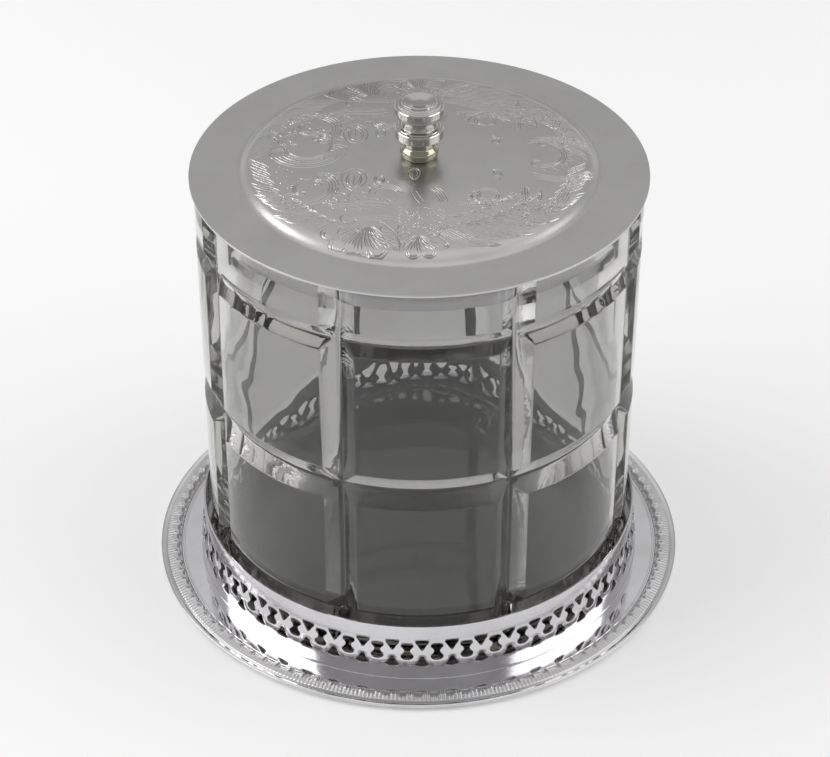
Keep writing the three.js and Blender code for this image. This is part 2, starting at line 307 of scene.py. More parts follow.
plate_top = 1.2
lip_centre, lip_radius = 93.45, 0.85
lip_outer = lip_centre + lip_radius
step_radius, step_rise = 85.95, 0.12
jar_shadow_radius = 77.5  # painted shadow of the jar on the plate under it
lip_inner = lip_centre - lip_radius
plate_corners = [
    (0, 0), (lip_outer - 2.4, 0, 0.5), (lip_outer - 0.7, 1.05, 0.4), (lip_outer, 1.7, 0.3),
    (lip_outer - 0.05, 2.1, 0.2), (lip_centre + 0.1, 2.4, 0.5), (lip_inner, 2.2, 0.4),
    (lip_inner - 0.6, 2.0, 0.2), (lip_inner - 1.4, plate_top, 0.1),
]
for aside, rise in ((0.35, 0), (0.2, step_rise), (-0.2, step_rise), (-0.35, 0)):
    plate_corners.append((step_radius + aside, plate_top + rise, 0.06))
plate_corners += [(radius, plate_top) for radius in (jar_shadow_radius + 0.1, jar_shadow_radius - 0.1, 60, 0)]
# The plate is painted darker under the jar: a painted shadow of the jar.
mirror_plate = plated(
    "mirror_plate", (0.76, 0.75, 0.77), (0.66, 0.65, 0.66), 0.07, 0.12, cut="painted_jar_shadow", grime_and_shade=0.85
)
tray_plate = turned("tray_plate", rounded(plate_corners), 256)
marked(tray_plate, "painted_jar_shadow", lambda x, y, z: z > plate_top / 2 and math.hypot(x, y) < jar_shadow_radius)
placed(tray_plate, mirror_plate, "tray", "base_plate")


# The border: a strip of plated brass, stamped with scallops that have four short ribs each, and soldered
# on inside the lip. One scallop is made, and Geometry Nodes set it down all the way round.
def round_the_axis():
    """The node group that repeats a cell round +Z, welds the copies and gives them their material."""
    group = Finish(bpy.data.node_groups.new("round_the_axis", "GeometryNodeTree"))
    sockets = {
        "Cell": "NodeSocketGeometry",
        "Count": "NodeSocketInt",
        "First Turn": "NodeSocketFloat",
        "Finish": "NodeSocketMaterial",
    }
    for socket_name, kind in sockets.items():
        group.tree.interface.new_socket(socket_name, in_out="INPUT", socket_type=kind)
    group.tree.interface.new_socket("Whole", in_out="OUTPUT", socket_type="NodeSocketGeometry")
    given = group.tree.nodes.new("NodeGroupInput").outputs
    cell, count, first_turn, finish = (Wire(group, given[socket_name]) for socket_name in sockets)

    places = group.node("GeometryNodePoints", {"Count": count})
    pitch = count.maths("DIVIDE", FULL_TURN, count)
    index = group.node("GeometryNodeInputIndex")
    euler = group.node("ShaderNodeCombineXYZ", {"Z": index.maths("MULTIPLY_ADD", index, pitch, first_turn)})
    rotation = group.node("FunctionNodeEulerToRotation", {0: euler})
    inputs = {"Points": places, "Instance": cell, "Rotation": rotation}
    copies = group.node("GeometryNodeInstanceOnPoints", inputs)
    real = group.node("GeometryNodeRealizeInstances", {0: copies})
    welded = group.node("GeometryNodeMergeByDistance", {"Geometry": real, "Distance": cell_weld * MM})
    dressed = group.node("GeometryNodeSetMaterial", {"Geometry": welded, "Material": finish})
    group.node("NodeGroupOutput", {0: dressed})
    return group.tree


cell_weld = 0.004
sharp_edge = math.radians(40)
repeating = round_the_axis()


def repeated(cell, count, first_turn, finish, edge=0.0):
    """Repeats a cell piece round +Z, rounds its sharp edges, and leaves a plain mesh."""
    modifier = cell.modifiers.new("round_the_axis", "NODES")
    modifier.node_group = repeating
    values = {"Count": count, "First Turn": first_turn, "Finish": finish}
    for item in repeating.interface.items_tree:
        if item.in_out == "INPUT" and item.name in values:
            modifier[item.identifier] = values[item.name]
    if edge:
        bevel = cell.modifiers.new("edges", "BEVEL")
        bevel.width = edge * MM
        bevel.segments = 2
        bevel.limit_method = "ANGLE"
        bevel.angle_limit = sharp_edge
    bpy.context.view_layer.update()
    graph = bpy.context.evaluated_depsgraph_get()
    mesh = bpy.data.meshes.new_from_object(cell.evaluated_get(graph))
    cell.modifiers.clear()
    cell.data = mesh
    mesh.name = cell.name
    mesh.shade_smooth()


FRONT = -math.pi / 2
scallop_count = 104
border_inner, border_width = 86.75, 5.6
strip_height, crest_height, crest_fall = 0.25, 1.9, 0.7
notch_depth, notch_half_width = 0.7, 0.045
rib_height, rib_half_width = 0.2, 0.075
scallop_steps = 24
across = np.array(
    [0, 0.04, 0.08, 0.12, 0.16, 0.2, 0.24, 0.28, 0.33, 0.38, 0.44]
    + [0.5, 0.57, 0.64, 0.71, 0.78, 0.85, 0.9, 0.94, 0.97, 1]
)


def eased_step(value, low, high):
    """0 below low, 1 above high, and smooth between them."""
    share = np.clip((np.asarray(value, float) - low) / (high - low), 0, 1)
    return share * share * (3 - 2 * share)


def hump(distance, half_width):
    """1 at no distance, falling off smoothly on both sides."""
    return math.exp(-((distance / half_width) ** 2))


border_outlines = []
scallop_angles = []
for step in range(scallop_steps + 1):
    along = step / scallop_steps - 0.5
    swag = 0.04 + 0.2 * (1 - (2 * abs(along)) ** 1.6)
    rise = eased_step(across, swag, swag + 0.1)
    crest = crest_height - crest_fall * eased_step(across, 0.38, 1.0)
    outer_fall = 1 - eased_step(across, 0.95, 1)
    notch = notch_depth * hump(0.5 - abs(along), notch_half_width) * (1 - eased_step(across, 0.3, 0.62))
    long_ribs = hump(abs(along) - 0.38, rib_half_width) * eased_step(across, 0.34, 0.5)
    short_ribs = hump(abs(along) - 0.12, rib_half_width) * eased_step(across, 0.52, 0.68)
    ribs = rib_height * (long_ribs + short_ribs) * (1 - eased_step(across, 0.86, 0.97))
    top = strip_height * eased_step(across, 0, 0.03) + (rise * (crest - notch) + ribs) * outer_fall
    top[0] = top[-1] = 0
    section = [(border_inner + share * border_width, plate_top + high) for share, high in zip(across, top)]
    border_outlines.append(section[::-1])
    scallop_angles.append(FRONT + along * FULL_TURN / scallop_count)
worn_plate = plated(
    "worn_plate", (0.74, 0.73, 0.74), (0.62, 0.61, 0.61), 0.26, 0.12, cut="recess", grime_and_shade=0.35
)
border = shell("tray_border", *skin(border_outlines, scallop_angles, whole=False, ring=True))
repeated(border, scallop_count, 0, worn_plate)
# The border's tone is darker low down, towards the plate.
marked(border, "recess", lambda x, y, z: 1 - eased_step(z - plate_top, 0.4, 1.7))
placed(border, worn_plate, "tray", "bead_border")


# The gallery: a strip of plated brass, pierced in a press with hourglasses and fans, bent round and
# soldered on the plate. It leans out to its foot, and a low lump swells between each two fans.
band_radius, band_thickness, band_height = 77.8, 0.8, 22.0
fillet_width, fillet_height = 0.15, 0.2
foot_lean, lean_start, lean_end = 1.5, 5.0, 16.0
lump_rise, lump_height, lump_half_width, lump_half_height = 0.25, 10.8, 2.0, 1.2
press_edge = 0.11
hole_margin = 0.35
pierce_count, pierce_turn = 48, math.radians(-2.8)
pitch = FULL_TURN * band_radius / pierce_count


def smooth_loop(points, steps=3):
    """A closed curve through points, with some steps between each two."""
    points = np.array(points, float)
    count = len(points)
    out = []
    for i in range(count):
        a, b, c, d = (points[(i + k) % count] for k in (-1, 0, 1, 2))
        for step in range(steps):
            t = step / steps
            bend, twist = 2 * a - 5 * b + 4 * c - d, 3 * b - a - 3 * c + d
            out.append(0.5 * (2 * b + (c - a) * t + bend * t**2 + twist * t**3))
    return np.array(out)


def mirrored(half):
    """An outline from its right half, whose ends lie on the line of symmetry."""
    return half + [(-x, y) for x, y in half[-2:0:-1]]


hourglass = mirrored(
    [(0, 8.15), (1.0, 8.25), (1.75, 8.65), (2.2, 9.4), (1.95, 10.1), (1.35, 10.85), (1.0, 11.6)]
    + [(1.25, 12.3), (1.8, 12.85), (2.2, 13.4), (1.95, 14.05), (1.2, 14.5), (0, 14.6)]
)
upper_fan = mirrored(
    [(0, 12.0), (0.6, 12.3), (1.05, 13.0), (1.55, 13.8), (2.15, 14.6)]
    + [(2.35, 15.2), (1.9, 15.75), (0.9, 15.93), (0, 15.95)]
)
lower_fan = mirrored(
    [(0, 5.5), (1.1, 5.58), (2.0, 5.9), (2.35, 6.45), (1.9, 7.1)]
    + [(1.3, 7.9), (0.95, 8.7), (0.6, 9.4), (0, 9.6)]
)
holes = [
    smooth_loop([(x - pitch / 4, y) for x, y in hourglass]),
    smooth_loop([(x + pitch / 4, y) for x, y in upper_fan]),
    smooth_loop([(x + pitch / 4, y) for x, y in lower_fan]),
]
rows = np.concatenate(
    [np.linspace(0, fillet_height, 4), np.linspace(0.9, 5, 5), np.linspace(5.6, 16.4, 17)]
    + [[18, 20, band_height - 0.3, band_height]]
)
columns = np.linspace(-pitch / 2, pitch / 2, 13)


def inside(points, loop):
    """Which of the points lie inside a closed loop."""
    x, y = points[:, 0:1], points[:, 1:2]
    ax, ay = loop[:, 0], loop[:, 1]
    bx, by = np.roll(ax, -1), np.roll(ay, -1)
    crossing = (ay > y) != (by > y)
    reach = ax + (y - ay) / np.where(by == ay, 1, by - ay) * (bx - ax)
    return (crossing & (x < reach)).sum(1) % 2 == 1


def clear_of(points, loop, gap):
    """Which of the points lie further than the gap from a loop's corners, and outside it."""
    near = np.hypot(points[:, None, 0] - loop[:, 0], points[:, None, 1] - loop[:, 1]).min(1) < gap
    return ~near & ~inside(points, loop)


def filled(points, lines, merge):
    """Points and triangles that fill the plane between lines of points, all with the same side up."""
    cut = delaunay_2d_cdt([tuple(p) for p in points], lines, [], 0, merge)
    points, triangles = np.array([tuple(v) for v in cut[0]]), np.array(cut[2])
    a, b, c = (points[triangles[:, k]] for k in range(3))
    clockwise = (b - a)[:, 0] * (c - a)[:, 1] < (b - a)[:, 1] * (c - a)[:, 0]
    triangles[clockwise] = triangles[clockwise][:, ::-1]
    return points, triangles


grid = np.array([(x, y) for y in rows for x in columns])
edge_of_cell = np.isin(grid[:, 0], columns[[0, -1]]) | np.isin(grid[:, 1], rows[[0, -1]])
clear = np.all([clear_of(grid, hole, hole_margin) for hole in holes], axis=0)
flat = list(grid[edge_of_cell | clear])
lines = []
for hole in holes:
    first = len(flat)
    flat += list(hole)
    lines += [(first + k, first + (k + 1) % len(hole)) for k in range(len(hole))]
flat, triangles = filled(flat, lines, 1e-5)
middles = flat[triangles].mean(1)
triangles = triangles[~np.any([inside(middles, hole) for hole in holes], axis=0)]

lean = foot_lean * (1 - eased_step(flat[:, 1], lean_start, lean_end))
turn_out = np.clip(1 - flat[:, 1] / fillet_height, 0, 1) * math.pi / 2
from_fan = (flat[:, 0] + pitch / 4) % pitch - pitch / 2
from_lump = (from_fan / lump_half_width) ** 2 + ((flat[:, 1] - lump_height) / lump_half_height) ** 2
raised = lump_rise * np.exp(-from_lump)
outer_radius = band_radius + lean + fillet_width * (1 - np.cos(turn_out)) + raised
outer_height = plate_top + np.where(turn_out > 0, fillet_height * (1 - np.sin(turn_out)), flat[:, 1])
inner_radius = band_radius - band_thickness + lean + raised
bend = FRONT + flat[:, 0] / band_radius
outer_points, inner_points = (polar(radius, bend, outer_height) for radius in (outer_radius, inner_radius))
edges = [(triangle[k], triangle[(k + 1) % 3]) for triangle in triangles.tolist() for k in range(3)]
known_edges = set(edges)
count = len(flat)
faces = triangles.tolist() + (triangles[:, ::-1] + count).tolist()
for start, end in edges:
    on_side = abs(abs(flat[start, 0]) - pitch / 2) < 1e-4 and abs(flat[start, 0] - flat[end, 0]) < 1e-4
    if (end, start) not in known_edges and not on_side:
        faces.append((end, start, start + count, end + count))
# The gallery's inner face, between it and the glass, is painted darker: painted shade.
bright_plate = plated(
    "bright_plate", (0.73, 0.72, 0.74), (0.65, 0.64, 0.66), 0.1, 0.12, cut="painted_inner_shade", grime_and_shade=0.8
)
gallery = shell("tray_gallery", np.concatenate([outer_points, inner_points]), faces)
repeated(gallery, pierce_count, pierce_turn + FULL_TURN / 4 / pierce_count, bright_plate, edge=press_edge)


def painted_inner_shade(x, y, z):
    """0 on the outer face of the gallery and 1 on its inner face, which is painted darker as shade."""
    outer = band_radius + foot_lean * (1 - eased_step(z - plate_top, lean_start, lean_end))
    return eased_step(outer - math.hypot(x, y), 0.1 * band_thickness, 0.9 * band_thickness)


marked(gallery, "painted_inner_shade", painted_inner_shade)
placed(gallery, bright_plate, "tray", "gallery_band")


# The jar: thick clear glass, pressed in a mould with eight columns of blocks in three rows, parted
# by V-shaped grooves. Its foot is smooth, and its edges were rounded in the fire.
jar_radius, jar_bottom, jar_top = 75.2, 1.3, 156.7
bore_radius, jar_floor = 69.2, 10.8
foot_radius, foot_top = 73.2, 23.3
groove_depth, upright_half_width = 3.6, 6.3
block_columns, block_turn = 8, math.radians(2.15)
level_grooves = ((77.86, 7.0, 1.0), (136.0, 4.7, 0.75))  # height, half width, share of the full depth
heel = ((0.2, 0.85), (0.9, 0.45), (1.7, 0.17), (2.6, 0.03), (3.2, 0.0))  # rise, share of the foot's inset
rim_rounding = 0.7
depth_shares = [0, 0.03, 0.07, 0.12, 0.25, 0.4, 0.6, 0.75, 0.88, 0.94, 0.98, 1]


def eased(share):
    """The depth of a groove, as a share of its full depth, with its edges and its bottom rounded off."""
    easing = 0.1
    left = 1 - share
    risen = share**2 / (2 * easing) if share < easing else share - easing / 2
    bottom = left**2 / (2 * easing) if left < easing else left - easing / 2
    return min(risen, 1 - easing - bottom)


half_column = math.pi / block_columns
face_half = half_column - upright_half_width / jar_radius
column_stops = [(share * face_half * 0.985, 0) for share in np.linspace(0, 1, 8)]
column_stops += [(face_half + share * upright_half_width / jar_radius, share) for share in depth_shares]
column_stops = [(-angle, share) for angle, share in column_stops[:0:-1]] + column_stops
column_angles, column_shares = np.array(column_stops).T

rows = [(foot_top + rise, 0) for rise, share in heel]
for middle, half_width, deepest in level_grooves:
    shares = [share for share in depth_shares if share < deepest - 0.001] + [deepest]
    below = [(middle - half_width * (1 - share / deepest), share) for share in shares]
    above = [(middle + half_width * (1 - share / deepest), share) for share in shares[-2::-1]]
    rows += [(below[0][0] - 0.6, 0)] + below + above + [(above[-1][0] + 0.6, 0)]
rows += [(jar_top - 3, 0), (jar_top - 1.0, 0)]

corner_rounding, rounding_steps = 3.5, 6
foot = rounded(
    [(0, jar_bottom), (50, jar_bottom), (foot_radius, jar_bottom, corner_rounding), (foot_radius, foot_top)],
    rounding_steps,
)
hollow = rounded(
    [(bore_radius + 0.01, jar_top - rim_rounding), (bore_radius, 100)]
    + [(bore_radius, jar_floor, corner_rounding), (40, jar_floor), (0, jar_floor)],
    rounding_steps,
)
jar_outlines = []
for share in column_shares:
    outside = []
    for number, (height, level_share) in enumerate(rows):
        depth = groove_depth * eased(max(share, level_share))
        heel_share = heel[number][1] if number < len(heel) else 0
        inset = (jar_radius - foot_radius) * heel_share
        outside.append((jar_radius - max(depth, inset), height))
    last = outside[-1][0]
    lip = [
        (last, jar_top - rim_rounding),
        (last - 0.2 * rim_rounding, jar_top - 0.3 * rim_rounding),
        (last - rim_rounding, jar_top),
        (bore_radius + rim_rounding, jar_top),
        (bore_radius + 0.2 * rim_rounding, jar_top - 0.3 * rim_rounding),
    ]
    jar_outlines.append(foot + outside + lip + hollow)


def pressed_glass():
    """Clear glass with the faint ripple of the mould, stronger in the grooves, and smears of handling. Its
    faces are tinted grey as painted shade, and its grooves are left nearly clear as painted light.
    """
    # The grey tint of the faces is painted shade; the near-white tint of the grooves paints them brighter.
    painted_shade_tint, painted_shade_smear_tint = (0.62, 0.618, 0.612, 1), (0.56, 0.558, 0.552, 1)
    painted_groove_light_tint = (0.97, 0.968, 0.962, 1)
    inner_tint, absorbed_per_metre = (0.3, 0.29, 0.24, 1), 13.0
    glass = Finish(bpy.data.materials.new("pressed_glass"))
    smears = glass.noise(26, detail=4).clipped(0.5, 0.8)
    groove = glass.node("ShaderNodeAttribute", output=2, attribute_name="groove")
    ripple = glass.noise(45, detail=1) + groove * glass.noise(330, detail=2, stretch=(1, 1, 1.6)) * 0.16
    bump = glass.node("ShaderNodeBump", {"Height": ripple, "Strength": 0.3, "Distance": 0.8 * MM})
    tint = glass.mixed(smears, painted_shade_tint, painted_shade_smear_tint)
    surface = glass.node(
        "ShaderNodeBsdfPrincipled",
        {
            "Base Color": glass.mixed(groove, tint, painted_groove_light_tint),
            "Roughness": smears * 0.03,
            "IOR": 1.5,
            "Transmission Weight": 1.0,
            "Normal": bump,
        },
    )
    depth = glass.node("ShaderNodeVolumeAbsorption", {"Color": inner_tint, "Density": absorbed_per_metre})
    glass.node("ShaderNodeOutputMaterial", {"Surface": surface, "Volume": depth})
    return glass.owner


clear_glass = pressed_glass()
jar = shell("jar_glass", *skin(jar_outlines, FRONT + column_angles, whole=False))
repeated(jar, block_columns, block_turn, clear_glass)


def groove_share(x, y, z):
    """0 on the faces of the blocks and 1 a third of the way down into the grooves."""
    sunk = jar_radius - math.hypot(x, y)
    outside = z > foot_top + 1 and sunk < groove_depth + 0.5
    return min(1, sunk / (0.3 * groove_depth)) if outside else 0


marked(jar, "groove", groove_share)
placed(jar, clear_glass, "jar", "glass_jar")


# The lid's collar: a plain plated band soldered under the rim. It drops inside the mouth of the glass
# and keeps the lid in the middle.
lid_under = 156.8
collar_inner, collar_middle, collar_outer, collar_edge = 67.8, 68.2, 68.6, 148.1
collar_corners = [
    (collar_middle, lid_under), (collar_inner, lid_under), (collar_inner, collar_edge, 0.3),
    (collar_middle, collar_edge - 0.15), (collar_outer, collar_edge, 0.3), (collar_outer, lid_under),
]
collar = turned("lid_band", rounded(collar_corners), ring=True)
placed(collar, bright_plate, "lid", "lid_collar")


# The lid: a spun sheet with a flat rim, a rounded shoulder and a low dome. Scrolls, fans and fronds
# are cut into the dome by hand, each stroke a shallow V that runs out at both ends.
lid_radius, lid_sheet = 76.5, 0.8
shoulder_outer, shoulder_inner, land_radius = 60.5, 55.0, 6.5
shoulder_rise, dome_rise = 2.6, 1.9
hole_radius = 2.05
rim_top = lid_under + lid_sheet


def bezier(points, steps):
    """Points along a Bezier curve of any order."""
    points = np.array(points, float)
    order = len(points) - 1
    t = np.linspace(0, 1, steps)[:, None]
    return sum(math.comb(order, k) * t**k * (1 - t) ** (order - k) * p for k, p in enumerate(points))


shoulder_width, shoulder_top = shoulder_outer - shoulder_inner, rim_top + shoulder_rise
shoulder_curve = bezier(
    [(shoulder_outer, rim_top), (shoulder_outer - 0.3 * shoulder_width, rim_top)]
    + [(shoulder_inner + 0.55 * shoulder_width, rim_top + 0.9 * shoulder_rise)]
    + [(shoulder_inner, shoulder_top)],
    24,
)
dome_top = shoulder_top + dome_rise
dome_between = (shoulder_inner + land_radius) / 2
dome_curve = bezier([(shoulder_inner, shoulder_top), (dome_between, dome_top), (land_radius, dome_top)], 24)
flat_from = shoulder_outer + 0.3
section = np.concatenate(
    [dome_curve[::-1], shoulder_curve[::-1][1:], [(flat_from, rim_top), (lid_radius, rim_top)]]
)


def lid_height(radius):
    """The height of the lid's upper face at a distance from its axis."""
    return np.interp(radius, section[:, 0], section[:, 1])


strokes = []
cup_clearance, stroke_reach = 7.6, 58.7
step_length, shortest = 0.8, 0.8  # of a stroke
fresh_width, width_lost, wear_start, wear_end = 1.2, 0.35, 5, 30


def stroke(points, width=0.45):
    """One cut of the graver along a line of points, in millimetres across the lid. The back is worn."""
    points = np.asarray(points, float)
    radii = np.hypot(*points.T)
    points = points[(radii > cup_clearance) & (radii < stroke_reach)]
    if len(points) < 3:
        return
    along = np.concatenate([[0], np.cumsum(np.hypot(*np.diff(points, axis=0).T))])
    if along[-1] < shortest:
        return
    even = np.linspace(0, along[-1], max(4, int(along[-1] / step_length) + 1))
    worn = fresh_width - width_lost * eased_step(points[:, 1].mean(), wear_start, wear_end)
    strokes.append((np.stack([np.interp(even, along, points[:, k]) for k in (0, 1)], -1), width * worn))


def moved(points, place, facing, size, flip=1):
    """Local points (ahead, aside) of a motif, set down on the lid and turned to face its way."""
    points = np.asarray(points, float) * size
    ahead, aside = points[:, 0], points[:, 1] * flip
    c, s = math.cos(facing), math.sin(facing)
    return np.stack([place[0] + ahead * c - aside * s, place[1] + ahead * s + aside * c], -1)


def course(line, least=0.0):
    """The directions along a line and to its left, at each of its points."""
    along = np.gradient(line, axis=0)
    along /= np.hypot(*along.T)[:, None] + least
    return along, np.stack([-along[:, 1], along[:, 0]], -1)


def arc(radius, start, sweep, steps=24, shrink=1.0):
    """Local points of an arc or, where it shrinks, of a spiral."""
    angles = start + np.linspace(0, sweep, steps)
    radii = radius * np.linspace(1, shrink, steps)
    return polar(radii, angles)


def acanthus(spine, width, lobes, side, veins, seed):
    """One side of a leaf along a spine: swept lobes of uneven reach with curled tips and many veins."""
    chance = np.random.default_rng(seed)
    last = 120
    spine = bezier(spine, last + 1)
    along, aside = course(spine)
    aside = side * aside
    stroke(spine, 0.5)
    stroke((spine + 0.8 * aside)[8:last - 12], 0.4)
    notch = None
    for i in range(lobes):
        k = int(last * i / lobes)
        swell = 0.55 + 0.45 * math.sin(math.pi * (i + 0.6) / (lobes + 0.4))
        reach = width * swell * chance.uniform(0.78, 1.12)
        ahead, out, foot = along[k], aside[k], spine[k]
        sweep = chance.uniform(0.35, 0.75)
        tip = foot + reach * (sweep * ahead + 0.86 * out)
        start = foot + 0.3 * reach * out if notch is None else notch
        stroke(bezier([start, foot + reach * (0.95 * out + (sweep - 0.6) * ahead), tip], 14), 0.5)
        after = min(last, int(last * (i + 1) / lobes))
        notch = spine[after] + chance.uniform(0.3, 0.55) * reach * aside[after]
        turned_in = tip + reach * (0.3 * ahead - 0.16 * out)
        stroke(bezier([tip, turned_in, notch + 0.1 * reach * ahead, notch], 14), 0.45)
        for vein in range(veins):
            spread = (vein + 0.6) / veins
            end = foot + reach * ((sweep - 0.4 + 0.46 * spread) * ahead + (0.78 - 0.16 * spread) * out)
            bow = foot + reach * ((sweep - 0.45 + 0.2 * spread) * ahead + 0.45 * out)
            stroke(bezier([foot + 0.9 * out + (0.2 + 0.2 * reach * spread) * ahead, bow, end], 10), 0.38)


def plume(spine, edge, lines, short):
    """Long cuts that flow side by side from one root and stop one after another."""
    steps = 60
    spine, edge = bezier(spine, steps), bezier(edge, steps)
    for i in range(lines):
        share = i / (lines - 1)
        curve = spine * (1 - share) + edge * share
        first, last = int(steps * 0.12 * (i % 2)), int(steps * (1 - short * share * (1 - 0.5 * (i % 2))))
        stroke(curve[first:last], 0.5)


def locks(start, end, count, inner, outer, sweep, thick, side, lines=5, width=0.48):
    """Wavy locks of leaf side by side round the dome: each swells from a point and ends in a curled point."""
    for i in range(count):
        turn = math.radians(start + (end - start) * i / count)
        swing = math.radians(sweep)
        lean_out = 0.5 + 0.5 * math.sin(2.1 * i)
        way = ((0, 0), (0.1, 0.45), (0.75 + 0.2 * lean_out, 0.55), (0.85 + 0.15 * lean_out, 1))
        way = [polar(inner + out * (outer - inner), turn + along * swing) for out, along in way]
        steps = 40
        spine = bezier(way, steps) * (1, side)
        _, aside = course(spine)
        swell = thick * np.sin(math.pi * np.linspace(0, 1, steps) ** 0.8)[:, None]
        for line in range(lines):
            share = 2 * line / (lines - 1) - 1
            edge = abs(share) == 1
            curve = spine + share * swell * aside
            stroke(curve if edge else curve[3:34 - 4 * (line % 2)], width if edge else 0.75 * width)


def fan(place, facing, size, blades, spread, flip, lobes=5):
    """A shell of curved blades whose tips run together in double-edged lobes."""
    where = (place, facing, size, flip)
    for i in range(blades):
        share = i / (blades - 1) - 0.5
        angle = spread * share
        lobe = 0.8 + 0.14 * abs(math.cos(math.pi * lobes * share))
        inner, outer = 0.28 + 0.14 * (i % 2), lobe * (1 - 0.25 * abs(2 * share) ** 2)
        blade = bezier([polar(inner, 0.4 * angle), polar(0.62, 0.7 * angle), polar(outer, angle + 0.12)], 14)
        stroke(moved(blade, *where), 0.52)
    for i in range(lobes):
        middle = spread * ((i + 0.5) / lobes - 0.5)
        reach = 0.92 - 0.22 * abs(2 * middle / spread) ** 2
        tip = polar(reach, middle + 0.1)
        for radius in (0.17, 0.115):
            stroke(moved(arc(radius, middle - 1.5, 3.1, 14) + tip, *where), 0.6)
    for side in (-1, 1):
        curl = arc(0.2, side * 2.4, -side * 4.6, 20, 0.3) + (0.2, side * 0.3)
        stroke(moved(curl, *where), 0.6)
        edge = bezier([(0.1, side * 0.12), (0.3, side * 0.62), (0.72, side * 0.72)], 20)
        stroke(moved(edge, *where), 0.6)


def c_scroll(place, facing, radius, sweep, rails, flip=1, barbs=8):
    """Parallel rails bent into a C, curled in at both ends, with short leaves on its back."""
    where = (place, facing, radius, flip)
    for i in range(rails):
        rail = arc(1 - 0.09 * i, -sweep / 2 + 0.05 * i, sweep - 0.1 * i, 30)
        stroke(moved(rail, *where), 0.6 if i % 2 == 0 else 0.45)
    for side in (-1, 1):
        end = polar(1, side * sweep / 2)
        for size in (0.32, 0.2):
            curl = arc(size, side * sweep / 2, side * 4.6, 26, 0.25) + end * 0.68
            stroke(moved(curl, *where), 0.55)
    for i in range(barbs):
        angle = sweep * ((i + 0.5) / barbs - 0.5)
        foot = polar(1, angle)
        side_step = np.array([-foot[1], foot[0]])
        tip = foot * (1.24 + 0.08 * (i % 2)) + 0.16 * side_step
        rising = bezier([foot, foot * 1.2 - 0.04 * side_step, tip], 8)
        falling = bezier([tip, foot * 1.16 + 0.2 * side_step, foot * 1.02 + 0.2 * side_step], 8)
        for edge in (rising, falling):
            stroke(moved(edge, *where), 0.5)


def bud(place, facing, size, flip=1, veins=3):
    """A pear-shaped bud on a stalk, with veins and a curled sepal on each side."""
    where = (place, facing, size, flip)
    half = bezier([(0, 0), (0.3, 0.46), (0.92, 0.34), (1, 0)], 18)
    for side in (-1, 1):
        stroke(moved(half * (1, side), *where), 0.6)
        stroke(moved(half * (0.78, side * 0.62) + (0.1, 0), *where), 0.42)
        sepal = arc(0.17, side * 0.4, side * 4.0, 16, 0.4) + (0.02, side * 0.3)
        stroke(moved(sepal, *where), 0.5)
    for vein in range(veins):
        bow = 0.13 * (vein - (veins - 1) / 2)
        stroke(moved(bezier([(0.2, 0), (0.5, bow * 1.6), (0.74, bow)], 8), *where), 0.4)
    stroke(moved(bezier([(0, 0), (-0.3, 0.05), (-0.55, 0.3)], 8), *where), 0.5)


def cartouche(place, size):
    """A small double ring."""
    for radius in (0.62, 0.82):
        stroke(moved(arc(radius, 0.4, FULL_TURN, 34), place, 0, size), 0.55)


def flecks(place, reach, count, seed):
    """Short bright flecks that ground the space between the scrolls."""
    chance = np.random.default_rng(seed)
    for _ in range(count):
        spot = np.array(place) + chance.uniform(-1, 1, 2) * reach
        turn = chance.uniform(0, math.pi)
        away = polar(chance.uniform(0.45, 0.75), turn)
        stroke([spot - away, spot + 0.12, spot + away], 0.5)


